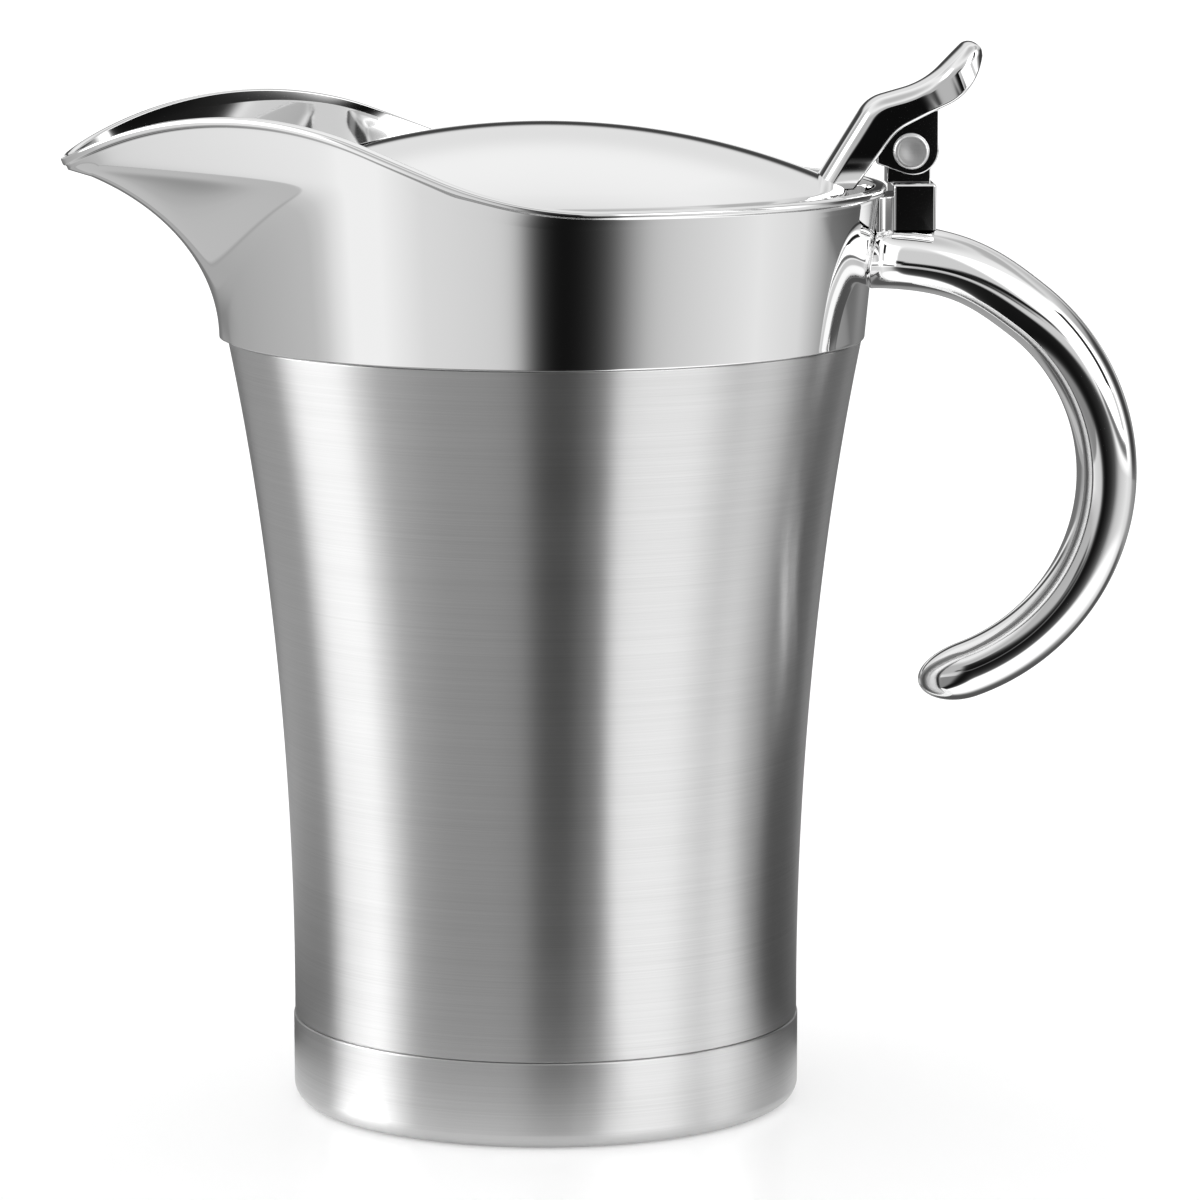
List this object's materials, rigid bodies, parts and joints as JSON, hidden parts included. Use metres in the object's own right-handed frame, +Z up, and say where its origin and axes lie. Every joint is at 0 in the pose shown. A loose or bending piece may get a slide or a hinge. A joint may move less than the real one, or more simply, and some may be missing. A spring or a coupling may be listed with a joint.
{
  "type": "insulated gravy boat",
  "caption": "Double-walled steel sauce jug with a flared body, broad pouring spout, open hook handle and a domed lid that tips up by a thumb lever.",
  "frame": {"origin": "on the vessel's axis, in the plane that it stands on", "axes": "+Z up the vessel's axis, -X towards the spout, +X towards the handle and hinge, +Y along the hinge pin"},
  "size_m": [0.1783, 0.113, 0.1765],
  "materials": {
    "brushed_body": "fine brushing round the body, satin",
    "polished": "mirror polished",
    "liner": "smooth, half bright",
    "pin": "satin"
  },
  "bodies": {
    "jug": {"base_cap": "brushed_body", "outer_shell": "brushed_body", "inner_liner": "liner", "spout_collar": "polished", "handle": "polished", "hinge_post": "polished"},
    "lid": {"lid_dome": "polished", "lid_underside": "liner", "thumb_lever": "polished", "hinge_pin": "pin"}
  },
  "joints": [
    {"name": "lid_hinge", "type": "hinge", "parent": "jug", "child": "lid", "pos_m": [0.06, 0, 0.1588], "axis": [0, 1, 0], "range_deg": [0, 90]}
  ]
}
